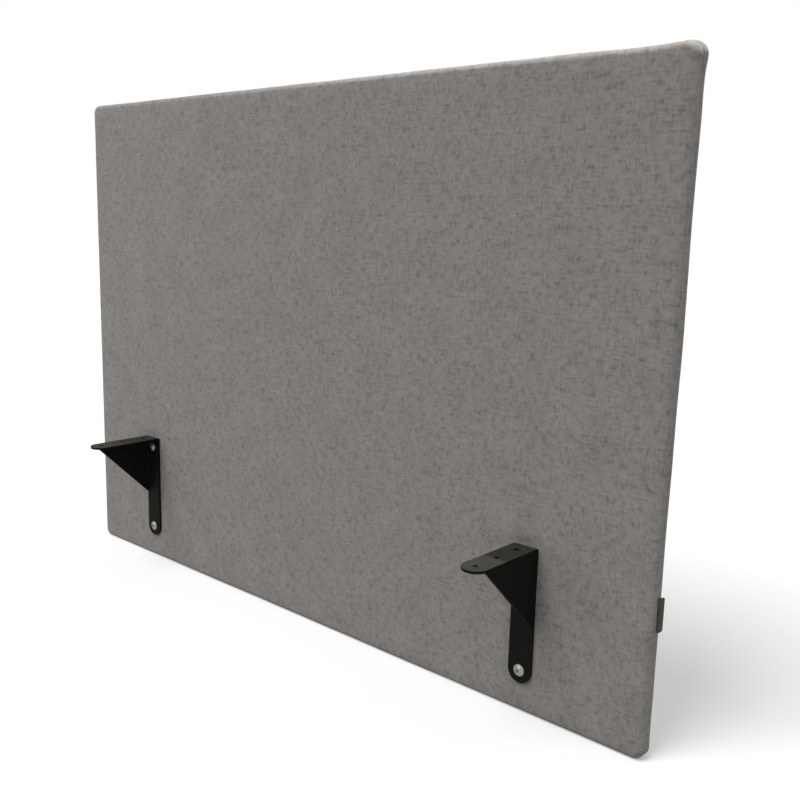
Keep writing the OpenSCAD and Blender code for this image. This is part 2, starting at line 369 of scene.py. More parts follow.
def yarn_group():
    """Plain weave of slubby yarns: a height, a light and dark mottle, a tint and the gaps."""
    group, given, out = new_group(
        "slubby_weave",
        [("Place", VECTOR, None), ("Threads", FLOAT, THREADS), ("Slubs", FLOAT, 1.0)],
        ["Height", "Mottle", "Tint", "Gaps"],
    )
    place = given["Place"]
    split = node(group, "SeparateXYZ", inputs={0: place}).outputs
    turns = math_node(group, "MULTIPLY", given["Threads"], math.pi)
    across = math_node(group, "SINE", math_node(group, "MULTIPLY", split[0], turns))
    along = math_node(group, "SINE", math_node(group, "MULTIPLY", split[1], turns))
    over = math_node(group, "MULTIPLY", across, along)
    warp = math_node(group, "ABSOLUTE", across)
    weft = math_node(group, "ABSOLUTE", along)
    share = math_node(group, "MULTIPLY_ADD", over, 0.5, 0.5)
    height = node(
        group, "Mix", data_type="FLOAT",
        inputs={"Factor": share, MIX_NUMBERS[0]: warp, MIX_NUMBERS[1]: weft},
    ).outputs[0]
    weft_slubs = stretched_noise(group, place, **WEFT_SLUBS)
    warp_slubs = stretched_noise(group, place, **WARP_SLUBS)
    clouds = stretched_noise(group, place, **CLOUDS)
    slubs = math_node(group, "SUBTRACT", math_node(group, "ADD", weft_slubs, warp_slubs), 1.0)
    slubs = math_node(group, "MULTIPLY", slubs, given["Slubs"])
    thinnest = math_node(group, "MINIMUM", weft_slubs, warp_slubs)
    gathered = math_node(group, "MULTIPLY", clouds, FLECK_CLOUDS)
    flecks = eased(group, math_node(group, "SUBTRACT", gathered, thinnest), *FLECK_RANGE)
    drift = math_node(group, "SUBTRACT", stretched_noise(group, place, **DRIFT), 0.5)
    mottle = math_node(group, "MULTIPLY_ADD", slubs, SLUB_SHARE, GROUND_TONE)
    for value, share in ((drift, DRIFT_SHARE), (clouds, -CLOUD_SHARE), (flecks, -FLECK_SHARE)):
        mottle = math_node(group, "MULTIPLY_ADD", value, share, mottle)
    return put_out(
        group, out,
        Height=math_node(group, "MULTIPLY_ADD", weft_slubs, SLUB_HEIGHT, height),
        Mottle=math_node(group, "ADD", mottle, 0.0, clamp=True),
        Tint=eased(group, stretched_noise(group, place, **TINTS), *TINT_RANGE, "LINEAR"),
        Gaps=eased(group, height, *GAP_RANGE),
    )


def speckle_group():
    """Fine even unevenness for coats, plating and plastic: a height and a faint tone."""
    group, given, out = new_group(
        "fine_speckle",
        [("Place", VECTOR, None), ("Grain", FLOAT, None)],
        ["Height", "Tone"],
    )
    fine = even_noise(group, given["Place"], given["Grain"], detail=3.0, rough=0.55)
    coarse = even_noise(group, given["Place"], scale=40.0, detail=4.0, rough=0.6)
    return put_out(group, out, Height=fine[0], Tone=coarse[0])


# Growth rings in a metre through the timber's depth and width, and how far they wander
RINGS_DEEP = 260.0
RINGS_WIDE = 90.0
RINGS_WANDER = 9.0


def timber_group():
    """Growth rings and pores of planed softwood that runs along X."""
    group, given, out = new_group(
        "softwood_grain", [("Place", VECTOR, None)], ["Height", "Rings"]
    )
    wander = stretched_noise(group, given["Place"], scale=(3, 40, 40), detail=3.0)
    split = node(group, "SeparateXYZ", inputs={0: given["Place"]}).outputs
    depth = math_node(group, "MULTIPLY", split[1], RINGS_DEEP)
    depth = math_node(group, "MULTIPLY_ADD", split[2], RINGS_WIDE, depth)
    depth = math_node(group, "MULTIPLY_ADD", wander, RINGS_WANDER, depth)
    rings = math_node(group, "FRACT", depth)
    pores = stretched_noise(group, given["Place"], scale=(60, 1800, 1800), detail=2.0)
    return put_out(
        group, out, Height=math_node(group, "MULTIPLY", pores, rings), Rings=rings
    )


# How far fibres wander, in metres
FIBRE_WANDER = (0.02, 0.02, 0.02)


def fibre_group():
    """Tangled fibres of felt and wadding."""
    group, given, out = new_group(
        "tangled_fibres",
        [("Place", VECTOR, None), ("Fibres", FLOAT, None)],
        ["Height", "Tone"],
    )
    wander = even_noise(group, given["Place"], scale=60.0, detail=2.0)[1]
    bent = node(
        group, "VectorMath", operation="MULTIPLY_ADD",
        inputs={0: wander, 1: FIBRE_WANDER, 2: given["Place"]},
    ).outputs[0]
    fibres = even_noise(group, bent, given["Fibres"], detail=4.0, distortion=1.5)[0]
    patches = even_noise(group, given["Place"], scale=25.0, detail=3.0)[0]
    return put_out(
        group, out, Height=fibres, Tone=math_node(group, "MULTIPLY", fibres, patches)
    )


WEAVE = yarn_group()
SPECKLE = speckle_group()
TIMBER = timber_group()
FIBRE = fibre_group()


# Materials

def new_material(name, colour, roughness, metallic=0.0, **more):
    """A material with its even values set on the shader itself."""
    made = bpy.data.materials.new(name)
    made.use_nodes = True
    made.diffuse_color = (*colour, 1)
    tree = made.node_tree
    shader = tree.nodes["Principled BSDF"]
    shader.inputs["Base Color"].default_value = (*colour, 1)
    shader.inputs["Roughness"].default_value = roughness
    shader.inputs["Metallic"].default_value = metallic
    for key, value in more.items():
        shader.inputs[key.replace("_", " ")].default_value = value
    return made, tree, shader


def placed_group(tree, group, place, **values):
    """Puts a node group into a material, with values of its own, and gives its outputs."""
    made = node(tree, "Group", node_tree=group, inputs={"Place": place})
    for key, value in values.items():
        made.inputs[key].default_value = value
    return made.outputs


def object_place(tree, turn=(0, 0, 0)):
    """Points in the object's own metres, turned where a grain runs another way."""
    place = node(tree, "TexCoord").outputs["Object"]
    return node(tree, "Mapping", inputs={"Vector": place, "Rotation": turn}).outputs[0]


def cut_place(tree):
    """The place on the flat cut of a cloth, in metres."""
    return node(tree, "UVMap", uv_map="cut").outputs[0]


def blended(tree, factor, dark, light):
    """A colour between two, each three numbers or another node's output."""
    inputs = {"Factor": factor}
    for socket, tone in zip(MIX_COLOURS, (dark, light)):
        inputs[socket] = tone if isinstance(tone, bpy.types.NodeSocket) else (*tone, 1)
    return node(tree, "Mix", data_type="RGBA", inputs=inputs).outputs[MIXED_COLOUR]


def coloured(tree, shader, colour):
    """Gives the shader a base colour from another node."""
    tree.links.new(colour, shader.inputs["Base Color"])


def bumped(tree, shader, height, depth, strength):
    """Bump from a height of 0 to 1, which stands for a depth in metres."""
    made = node(
        tree, "Bump", inputs={"Height": height, "Distance": depth, "Strength": strength}
    )
    tree.links.new(made.outputs[0], shader.inputs["Normal"])


def woven_tone(tree, weave, gap_share, offset):
    """The mottle of a weave, darker in the gaps between its yarns."""
    gaps = math_node(tree, "MULTIPLY_ADD", weave["Gaps"], gap_share, offset)
    return math_node(tree, "ADD", gaps, weave["Mottle"])


# Dark and light tone of the cloth's warmer and cooler places
CLOTH_WARM = ((0.124, 0.1115, 0.1055), (0.299, 0.27, 0.2545))
CLOTH_COOL = ((0.116, 0.113, 0.107), (0.274, 0.272, 0.2565))


def cloth_material():
    made, tree, shader = new_material(
        "grey_upholstery_cloth", (0.21, 0.198, 0.186), roughness=0.92, Sheen_Weight=0.12,
        Sheen_Roughness=0.5, Specular_IOR_Level=0.25,
    )
    weave = placed_group(tree, WEAVE, cut_place(tree))
    tone = woven_tone(tree, weave, gap_share=0.3, offset=-0.2)
    warm = blended(tree, tone, *CLOTH_WARM)
    cool = blended(tree, tone, *CLOTH_COOL)
    coloured(tree, shader, blended(tree, weave["Tint"], warm, cool))
    bumped(tree, shader, weave["Height"], depth=0.2 * MM, strength=0.7)
    return made


def label_material():
    made, tree, shader = new_material(
        "dark_label_band", (0.035, 0.033, 0.028), roughness=0.8, Sheen_Weight=0.1,
        Specular_IOR_Level=0.3,
    )
    weave = placed_group(tree, WEAVE, cut_place(tree), Threads=1900.0, Slubs=0.5)
    tone = woven_tone(tree, weave, gap_share=0.7, offset=-0.45)
    coloured(tree, shader, blended(tree, tone, (0.02, 0.019, 0.015), (0.072, 0.068, 0.055)))
    bumped(tree, shader, weave["Height"], depth=0.12 * MM, strength=0.8)
    return made


# Painted highlight on the coat's upward faces, a patchy lighter grey that stands in for light from
# above: how far up a face looks where it is painted, how strong it is, and how patchy
TOP_LIGHT_RANGE = (0.8, 1.0)
TOP_LIGHT_SHARE = 0.38
TOP_LIGHT_PATCHES = (0.5, 0.75)
TOP_LIGHT_COLOUR = (0.065, 0.062, 0.056)


def coat_material():
    made, tree, shader = new_material(
        "black_powder_coat", (0.0055, 0.0055, 0.0045), roughness=0.6, Specular_IOR_Level=0.05
    )
    coat = placed_group(tree, SPECKLE, object_place(tree), Grain=1800.0)
    # Painted highlight: faces that look upwards are made lighter grey, as if lit from above
    facing = node(tree, "NewGeometry").outputs["Normal"]
    upward = node(tree, "SeparateXYZ", inputs={0: facing}).outputs[2]
    top_light = math_node(tree, "MULTIPLY", eased(tree, upward, *TOP_LIGHT_RANGE), TOP_LIGHT_SHARE)
    patchy = math_node(tree, "MULTIPLY_ADD", coat["Tone"], *TOP_LIGHT_PATCHES)
    top_light = math_node(tree, "MULTIPLY", top_light, patchy)
    bare_coat = blended(tree, coat["Tone"], (0.0035, 0.0035, 0.0028), (0.008, 0.008, 0.0065))
    coloured(tree, shader, blended(tree, top_light, bare_coat, TOP_LIGHT_COLOUR))
    bumped(tree, shader, coat["Height"], depth=0.06 * MM, strength=0.5)
    return made


def metal_material(name, dark, light, roughness, grain):
    made, tree, shader = new_material(name, light, roughness, metallic=1.0)
    plate = placed_group(tree, SPECKLE, object_place(tree), Grain=grain)
    coloured(tree, shader, blended(tree, plate["Tone"], dark, light))
    bumped(tree, shader, plate["Height"], depth=0.02 * MM, strength=0.4)
    return made


def timber_material(name, turn):
    made, tree, shader = new_material(name, (0.62, 0.42, 0.22), roughness=0.55)
    grain = placed_group(tree, TIMBER, object_place(tree, turn))
    coloured(tree, shader, blended(tree, grain["Rings"], (0.66, 0.47, 0.26), (0.45, 0.27, 0.12)))
    bumped(tree, shader, grain["Height"], depth=0.1 * MM, strength=0.4)
    return made


def fibre_material(name, dark, light, fibres):
    made, tree, shader = new_material(name, light, roughness=0.95, Specular_IOR_Level=0.2)
    felt = placed_group(tree, FIBRE, object_place(tree), Fibres=fibres)
    coloured(tree, shader, blended(tree, felt["Tone"], dark, light))
    bumped(tree, shader, felt["Height"], depth=0.4 * MM, strength=0.7)
    return made


def strip_material():
    made, tree, shader = new_material("black_strip_plastic", (0.02,) * 3, roughness=0.45)
    mould = placed_group(tree, SPECKLE, object_place(tree), Grain=900.0)
    coloured(tree, shader, blended(tree, mould["Tone"], (0.014,) * 3, (0.028,) * 3))
    bumped(tree, shader, mould["Height"], depth=0.05 * MM, strength=0.4)
    return made


CLOTH = cloth_material()
LABEL = label_material()
COAT = coat_material()
ZINC = metal_material(
    "zinc_plate", (0.22, 0.225, 0.205), (0.36, 0.365, 0.34), roughness=0.5, grain=2500.0
)
WIRE = metal_material("galvanised_wire", (0.4,) * 3, (0.6,) * 3, roughness=0.4, grain=3000.0)
BRASS = metal_material(
    "turned_brass", (0.5, 0.36, 0.13), (0.72, 0.55, 0.24), roughness=0.3, grain=2500.0
)
RAIL_WOOD = timber_material("softwood_across", turn=(0, 0, 0))
POST_WOOD = timber_material("softwood_upright", turn=(0, math.pi / 2, 0))
FELT = fibre_material("grey_felt_board", (0.2, 0.2, 0.195), (0.42, 0.42, 0.41), fibres=500.0)
WADDING = fibre_material("white_wadding", (0.6, 0.6, 0.58), (0.86, 0.86, 0.84), fibres=220.0)
STRIP = strip_material()


def dressed(piece, material):
    """Gives a finished new piece its material and its body."""
    piece.data.materials.clear()
    piece.data.materials.append(material)
    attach(piece, "root")


def repaint(material, *nodes):
    """Gives the solids of these nodes a material of this scene."""
    for name in nodes:
        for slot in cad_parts[name].material_slots:
            slot.material = material


# The form of the padded cover

# How far the folded cloth stands out at each corner: sides in X and Z, reach outwards and upwards
FOLDS = (
    (1, 1, 3.2 * MM, 3.1 * MM), (-1, 1, 0.5 * MM, 0.6 * MM),
    (1, -1, 0.5 * MM, 0.2 * MM), (-1, -1, 0.4 * MM, 0.2 * MM),
)
FOLD_INSET_Z = 4 * MM
FOLD_LENGTH = 20 * MM
FOLD_INSET_X = 18 * MM
FOLD_WIDTH = 10 * MM
# A fold's share on the front half, and where through the thickness it rises to the whole
FOLD_FRONT_SHARE = 0.15
FOLD_RISE = (-0.2, 0.5)
# Distance from the panel's side at which folds and swells begin, and at which they are whole
RIM_START = 26 * MM
RIM_WHOLE = 6 * MM

# How the faces slope towards the edges, how much of what stands proud is lost there, and the
# share of the depth from which a place belongs to a face
SOFT_REACH = 26 * MM
SOFT_DEPTH = 0.5 * MM
EDGE_LOSS_SHARE = 0.6
FACE_START_SHARE = 0.45

# How the cover is pressed round a bracket's strip, and how it crowns over the bracket's bend
PROUD = 0.4 * MM
PRESS_REACH = 14 * MM
CROWN = 1.7 * MM
CROWN_REACH = 38 * MM
CROWN_EASE = 8 * MM

# Places where the top edge and the label's end swell or sink: middle, width along the edge, push
TOP_SWELLS = ((440 * MM, 30 * MM, -1 * MM),)
END_SWELLS = ((440 * MM, 45 * MM, 1.1 * MM), (235 * MM, 100 * MM, 1.2 * MM))

# Unevenness of the faces and of the edges: repeats in a metre and height. Through the depth
# the faces' waves change faster
SLOW_WAVE = (9, 0.25 * MM)
QUICK_WAVE = (32, 0.12 * MM)
RIPPLE = (14, 0.5 * MM)
WAVE_DEPTH_SCALE = 3


def swelling(swells, along):
    """How far an edge stands out at a place along it."""
    return sum(push * math.exp(-(((along - middle) / width) ** 2)) for middle, width, push in swells)


def rim_share(distance):
    """How far a place lies out on the rounded edge, from its distance to the panel's side."""
    return smoothstep(-RIM_START, -RIM_WHOLE, distance)


def unevenness(place, wave):
    """The height of a wave at a place."""
    repeats, height = wave
    return noise.noise(place * repeats) * height


def from_strip(place):
    """Distance in the face's plane from the outline of the nearer bracket's strip."""
    aside = abs(place.x) - POST_X
    over_end = max(SCREW_Z["lower"] - place.z, place.z, 0)
    if place.z > 0:
        return math.hypot(max(abs(aside) - BAR_R, 0), over_end)
    if place.z < SCREW_Z["lower"]:
        return max(math.hypot(aside, over_end) - BAR_R, 0)
    return max(abs(aside) - BAR_R, 0)


def soft_form(place):
    """How the padded cover departs from its plain form: folds, pressed places and unevenness."""
    move = Vector((0, 0, 0))
    across = place.x - MIDDLE.x
    up = place.z - MIDDLE.z
    past_x = abs(across) - HALF_W
    past_z = abs(up) - HALF_H
    past = max(past_x, past_z)
    backward = (place.y - MIDDLE.y) / HALF_T
    for sign_x, sign_z, out_x, out_z in FOLDS:
        if across * sign_x > 0 and up * sign_z > 0:
            rise = smoothstep(*FOLD_RISE, backward)
            lump = FOLD_FRONT_SHARE + (1 - FOLD_FRONT_SHARE) * rise
            along_z = math.exp(-(((past_z + FOLD_INSET_Z) / FOLD_LENGTH) ** 2))
            along_x = math.exp(-(((past_x + FOLD_INSET_X) / FOLD_WIDTH) ** 2))
            move.x += sign_x * out_x * lump * along_z * rim_share(past_x)
            move.z += sign_z * out_z * lump * along_x * rim_share(past_z)
    if up > 0:
        move.z += swelling(TOP_SWELLS, place.x) * rim_share(past_z)
    if across > 0:
        move.x += swelling(END_SWELLS, place.z) * rim_share(past_x)
    spot = Vector((place.x, place.y * WAVE_DEPTH_SCALE, place.z))
    proud = PROUD + unevenness(spot, SLOW_WAVE) + unevenness(spot, QUICK_WAVE)
    to_face = math.copysign(1, backward)
    if to_face < 0:
        beside = from_strip(place)
        over_bend = smoothstep(-CROWN_EASE, CROWN_EASE, place.z)
        proud += CROWN * over_bend * math.exp(-((beside / CROWN_REACH) ** 2))
        proud *= smoothstep(0, PRESS_REACH, beside)
    proud *= 1 - EDGE_LOSS_SHARE * smoothstep(-2 * EDGE_R, -EDGE_R, past)
    slope = max(past + SOFT_REACH, 0) / (SOFT_REACH - EDGE_R)
    on_face = smoothstep(FACE_START_SHARE, 1, abs(backward))
    move.y += to_face * (proud - SOFT_DEPTH * slope ** 2) * on_face
    ripple = unevenness(Vector((place.x, 0, place.z)), RIPPLE)
    move.x += math.copysign(smoothstep(-CORNER_R, 0, past_x), across) * ripple
    move.z += math.copysign(smoothstep(-CORNER_R, 0, past_z), up) * ripple
    return move


# Cover and wadding

def outline_stations():
    """A face's grid of points, its cells each way, and the stations round it: point and heading."""
    reach_x = HALF_W - CORNER_R
    reach_z = HALF_H - CORNER_R
    cells_x = round(2 * reach_x / CELL)
    cells_z = round(2 * reach_z / CELL)
    grid = [
        (MIDDLE.x + reach_x * (2 * i / cells_x - 1), MIDDLE.z + reach_z * (2 * j / cells_z - 1))
        for j in range(cells_z + 1)
        for i in range(cells_x + 1)
    ]

    def point(i, j):
        return j * (cells_x + 1) + i

    runs = [
        [point(i, 0) for i in range(cells_x + 1)],
        [point(cells_x, j) for j in range(cells_z + 1)],
        [point(i, cells_z) for i in range(cells_x, -1, -1)],
        [point(0, j) for j in range(cells_z, -1, -1)],
    ]
    stations = []
    for turn, run in enumerate(runs):
        start = math.radians(90 * turn - 90)
        stations += [(at, start) for at in run]
        stations += [(run[-1], start + math.radians(turned)) for turned in CORNER_TURNS]
    return grid, (cells_x, cells_z), stations


def seam_gap(z, heading):
    """Half the opening between the two halves of the cover, at a place on its edge."""
    down = -math.sin(heading)
    channel = smoothstep(math.cos(math.radians(CORNER_TURNS[0])), 1, down)
    gap = SEAM_GAP + (CHANNEL_GAP - SEAM_GAP) * channel
    if math.cos(heading) > END_COSINE:
        label_low, label_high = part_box("side_label")
        past_label = max(label_low.z - z, z - label_high.z) - LABEL_MORE / 2
        at_label = 1 - smoothstep(-LABEL_EASE, LABEL_EASE, past_label)
        gap += (LABEL_GAP - SEAM_GAP) * at_label
    return gap


def edge_section(gap, inset, lip_r, tuck):
    """Section from the tuck inside the seam to the face: way from the middle, and depth."""
    radius = EDGE_R - inset
    quarter = math.radians(90)
    points = [(gap, tuck), (gap, (tuck + lip_r) / 2)]
    for step in range(LIP_STEPS + 1):
        angle = quarter * step / LIP_STEPS
        points.append((gap + lip_r * (1 - math.cos(angle)), lip_r * (1 - math.sin(angle))))
    start = gap + lip_r
    end = FLAT_HALF + radius * quarter
    for step in range(1, EDGE_STEPS + 1):
        run = start + (end - start) * step / EDGE_STEPS
        if run <= FLAT_HALF:
            points.append((run, 0))
        else:
            angle = (run - FLAT_HALF) / radius
            across = FLAT_HALF + radius * math.sin(angle)
            points.append((across, radius * (1 - math.cos(angle))))
    points.append((FLAT_HALF + radius, (radius + CORNER_R - inset) / 2))
    return points


def sheet_piece(name, mesh, uv_of):
    """Makes a piece of a sheet's mesh, whose UV map is each corner's place on the flat cut."""
    layer = mesh.loops.layers.uv.new("cut")
    for face in mesh.faces:
        for loop in face.loops:
            loop[layer].uv = uv_of[loop.vert]
    data = bpy.data.meshes.new(name)
    mesh.to_mesh(data)
    mesh.free()
    piece = bpy.data.objects.new(name, data)
    bpy.context.scene.collection.objects.link(piece)
    return piece


def cover_half(name, side, inset, lip_r, tuck, extra_gap):
    """One half of a skin round the panel as a sheet: its edge, seen in section, and its face."""
    grid, (cells_x, cells_z), stations = outline_stations()
    mesh = bmesh.new()
    uv_of = {}
    face_y = MIDDLE.y + side * (HALF_T - inset)
    reach = CORNER_R - inset
    flat_grid = []
    for x, z in grid:
        corner = mesh.verts.new((x, face_y, z))
        uv_of[corner] = (x, z)
        flat_grid.append(corner)
    columns = []
    for at, heading in stations:
        x, z = grid[at]
        way = (math.cos(heading), math.sin(heading))
        section = edge_section(seam_gap(z, heading) + extra_gap, inset, lip_r, tuck)
        column = []
        run = 0
        last = (HALF_T - inset, reach)
        for across, depth in reversed(section):
            out = reach - depth
            run += math.dist((across, depth), last)
            last = (across, depth)
            corner = mesh.verts.new(
                (x + way[0] * out, MIDDLE.y + side * across, z + way[1] * out)
            )
            uv_of[corner] = (x + way[0] * run, z + way[1] * run)
            column.append(corner)
        columns.append((flat_grid[at], column))
    for j in range(cells_z):
        for i in range(cells_x):
            low = j * (cells_x + 1) + i
            high = low + cells_x + 1
            mesh.faces.new(
                (flat_grid[low], flat_grid[low + 1], flat_grid[high + 1], flat_grid[high])
            )
    for place in range(len(columns)):
        inner_a, a = columns[place - 1]
        inner_b, b = columns[place]
        if inner_a is inner_b:
            mesh.faces.new((inner_a, a[0], b[0]))
        else:
            mesh.faces.new((inner_a, a[0], b[0], inner_b))
        for row in range(len(a) - 1):
            mesh.faces.new((a[row], a[row + 1], b[row + 1], b[row]))
    if side > 0:
        bmesh.ops.reverse_faces(mesh, faces=mesh.faces)
    for corner in mesh.verts:
        corner.co += soft_form(corner.co)
    return sheet_piece(name, mesh, uv_of)


def screw_places():
    """Place in X and Z, and name, of each of the four panel screws."""
    return [
        (sign * POST_X, z, f"{side}_{level}")
        for side, sign in SIDES.items()
        for level, z in SCREW_Z.items()
    ]


def pierced(piece):
    """Cuts the holes of the four panel screws through a front skin."""
    for x, z, _ in screw_places():
        place = (x, PANEL_LOW.y, z)
        hole = rod("hole", place, SCREW_HOLE_R, SKIN_HOLE_L, "Y", SKIN_HOLE_SIDES)
        combined(piece, hole, "DIFFERENCE")


def make_covers():
    """Cloth and wadding of the front and the back."""
    for face, side in (("front", -1), ("back", 1)):
        cover = cover_half(f"{face}_cover", side, 0, LIP_R, TUCK, 0)
        modified(cover, "SOLIDIFY", thickness=CLOTH_T, offset=-1)
        wadding = cover_half(
            f"{face}_wadding", side, UNDER_CLOTH, WADDING_LIP_R, WADDING_TUCK, WADDING_GAP
        )
        modified(wadding, "SOLIDIFY", thickness=WADDING_T, offset=-1)
        if side < 0:
            pierced(cover)
            pierced(wadding)
        shade_smooth(cover)
        shade_smooth(wadding)
        dressed(cover, CLOTH)
        dressed(wadding, WADDING)
        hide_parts(f"{face}_cloth")
        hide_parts(f"{face}_padding")


# Brackets and screws

def model_bracket():
    """The right bracket: a flat bar bent to an angle, round at both ends, with its gusset."""
    low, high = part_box("right_bracket")
    inner = high.y - BAR_T
    bar = block("right_angle_bracket", (low.x, low.y, -BAR_T), (high.x, high.y, 0))
    edit_all(bar)
    bpy.ops.mesh.bisect(plane_co=(0, inner, 0), plane_no=(0, 1, 0))
    pick(bar, "FACE", lambda at: near(at.z, -BAR_T) and at.y > inner - HAIR)
    bpy.ops.mesh.extrude_region_move(TRANSFORM_OT_translate={"value": (0, 0, low.z + BAR_T)})
    bpy.ops.object.mode_set(mode="OBJECT")
    bevel_edges(bar, lambda at: near(at.y, high.y) and near(at.z, 0), BEND_OUT, BEND_OUT_STEPS)
    bevel_edges(bar, lambda at: near(at.y, inner) and near(at.z, -BAR_T), BEND_IN, BEND_IN_STEPS)
    full = BAR_R - ROUND_LEAVES
    for side_x in (low.x, high.x):
        bevel_edges(bar, lambda at: near(at.y, low.y) and near(at.x, side_x), full, END_STEPS)
        bevel_edges(bar, lambda at: near(at.z, low.z) and near(at.x, side_x), full, END_STEPS)
    tip = low.y + BAR_R
    weld_x = high.x - BAR_T
    gusset = block(
        "gusset", (weld_x, tip, -GUSSET_DROP), (high.x, inner + GUSSET_SUNK, GUSSET_SUNK - BAR_T)
    )
    top = Vector((0, tip, -BAR_T - GUSSET_NOSE))
    foot = Vector((0, inner - GUSSET_NOSE, -GUSSET_DROP))
    edit_all(gusset)
    bpy.ops.mesh.bisect(
        plane_co=top, plane_no=(foot - top).cross(Vector((1, 0, 0))), use_fill=True,
        clear_outer=True,
    )
    bpy.ops.object.mode_set(mode="OBJECT")
    combined(bar, gusset, "UNION")

    def on_weld(at):
        """True where the gusset's inner face meets the flange, the bend or the strip."""
        corner = Vector((at.y - inner + BEND_IN, at.z + BAR_T + BEND_IN))
        in_bend = min(corner) > 0 and near(corner.length, BEND_IN)
        on_flange = near(at.z, -BAR_T) and at.y > tip - SLACK
        on_strip = near(at.y, inner) and at.z > -GUSSET_DROP - SLACK
        return near(at.x, weld_x) and (on_flange or on_strip or in_bend)

    bevel_edges(bar, on_weld, WELD_R, WELD_STEPS)
    for y in DESK_HOLES:
        hole = rod("hole", (POST_X, y, 0), DESK_HOLE_R, BAR_HOLE_L, "Z")
        combined(bar, hole, "DIFFERENCE")
    for z in SCREW_Z.values():
        hole = rod("hole", (POST_X, high.y, z), SCREW_HOLE_R, BAR_HOLE_L, "Y")
        combined(bar, hole, "DIFFERENCE")
    merged(bar)
    softened(bar, BAR_EDGE)
    return bar


def make_brackets():
    """The right bracket, and the left as its mirrored copy."""
    right = model_bracket()
    left = copied(right, "left_angle_bracket")
    left.scale.x = -1
    settle(left)
    edit_all(left)
    bpy.ops.mesh.normals_make_consistent(inside=False)
    bpy.ops.object.mode_set(mode="OBJECT")
    modified(left, "WEIGHTED_NORMAL", keep_sharp=True, weight=100)
    for side, bracket in (("right", right), ("left", left)):
        dressed(bracket, COAT)
        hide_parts(f"{side}_bracket")


def model_screw(name, x, z):
    """Screw with a domed head on a collar and a hexagon socket."""
    seat = PANEL_LOW.y - BAR_T
    top = seat - COLLAR_T
    collar = rod(name, (x, seat - COLLAR_T / 2, z), COLLAR_R, COLLAR_T, "Y", HEAD_SIDES)
    bevel_edges(collar, lambda at: near(at.y, top), *COLLAR_TOP_BEVEL)
    bevel_edges(collar, lambda at: near(at.y, seat), *COLLAR_FOOT_BEVEL)
    rise = HEAD_H - COLLAR_T
    ball_r = (DOME_R ** 2 + rise ** 2) / (2 * rise)
    bpy.ops.object.select_all(action="DESELECT")
    bpy.ops.mesh.primitive_uv_sphere_add(
        segments=HEAD_SIDES, ring_count=HEAD_SIDES, radius=ball_r,
        location=(x, seat - HEAD_H + ball_r, z), rotation=(math.pi / 2, 0, 0),
    )
    dome = settle(named("dome"))
    edit_all(dome)
    bpy.ops.mesh.bisect(
        plane_co=(0, top + DOME_SUNK, 0), plane_no=(0, 1, 0), use_fill=True, clear_outer=True
    )
    bpy.ops.object.mode_set(mode="OBJECT")
    combined(collar, dome, "UNION")
    shank_l = SCREW_L + COLLAR_T / 2
    middle = (x, top + COLLAR_T / 2 + shank_l / 2, z)
    shank = rod("shank", middle, SCREW_R, shank_l, "Y", SHANK_SIDES)
    bevel_edges(shank, lambda at: at.y > seat + SCREW_L - HAIR, *POINT_BEVEL)
    combined(collar, shank, "UNION")
    socket = rod("socket", (x, seat - HEAD_H, z), SOCKET_R, 2 * SOCKET_DEPTH, "Y", SOCKET_SIDES)
    combined(collar, socket, "DIFFERENCE")
    merged(collar)
    softened(collar, HEAD_EDGE)
    return collar


def make_screws():
    """The four screws: one is modelled, the others are copies of it."""
    places = screw_places()
    x, z, name = places[0]
    first = model_screw(f"{name}_collar_screw", x, z)
    screws = [first]
    for other_x, other_z, other in places[1:]:
        screw = copied(first, f"{other}_collar_screw")
        screw.location = (other_x - x, 0, other_z - z)
        screws.append(settle(screw))
    for screw, (_, _, name) in zip(screws, places):
        dressed(screw, ZINC)
        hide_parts(f"{name}_screw")


# Label

def label_path(start, reach, fold_r):
    """Path of the folded band in plan: out to its fold, round it and back to the seam."""
    share = [step / LABEL_STEPS for step in range(LABEL_STEPS + 1)]
    path = [(start + (reach - start) * along, -fold_r) for along in share]
    for step in range(1, LABEL_BENDS):
        angle = math.radians(180) * step / LABEL_BENDS
        path.append((reach + fold_r * math.sin(angle), -fold_r * math.cos(angle)))
    return path + [(start + (reach - start) * along, fold_r) for along in reversed(share)]


def make_label():
    """A dark band folded in two, its fold outside and its ends sewn into the seam."""
    low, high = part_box("side_label")
    low.z -= LABEL_MORE / 2
    high.z += LABEL_MORE / 2
    fold_r = (high.y - low.y) / 2 - LABEL_T / 2
    middle_y = (low.y + high.y) / 2
    mesh = bmesh.new()
    uv_of = {}
    lines = []
    for row in range(LABEL_ROWS + 1):
        z = low.z + (high.z - low.z) * row / LABEL_ROWS
        reach = high.x - fold_r - LABEL_T / 2
        for end, inside in (("lower", z - low.z), ("upper", high.z - z)):
            radius = LABEL_ROUNDING[end]
            short = max(radius - inside, 0)
            reach -= radius - math.sqrt(radius ** 2 - short ** 2)
        path = label_path(low.x, reach, fold_r)
        line = []
        run = 0
        last = path[0]
        for x, y in path:
            run += math.dist((x, y), last)
            last = (x, y)
            out = max(x - PANEL_HIGH.x, 0) / (high.x - PANEL_HIGH.x)
            lean = LABEL_LEAN * out ** LABEL_LEAN_POWER
            corner = mesh.verts.new((x, middle_y + y + lean, z + LABEL_RISE * out))
            uv_of[corner] = (run, z)
            line.append(corner)
        lines.append(line)
    for a, b in zip(lines, lines[1:]):
        for i in range(len(a) - 1):
            mesh.faces.new((a[i], a[i + 1], b[i + 1], b[i]))
    label = sheet_piece("folded_label", mesh, uv_of)
    modified(label, "SOLIDIFY", thickness=LABEL_T, offset=0)
    shade_smooth(label)
    dressed(label, LABEL)
    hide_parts("side_label")


make_covers()
make_brackets()
make_screws()
make_label()

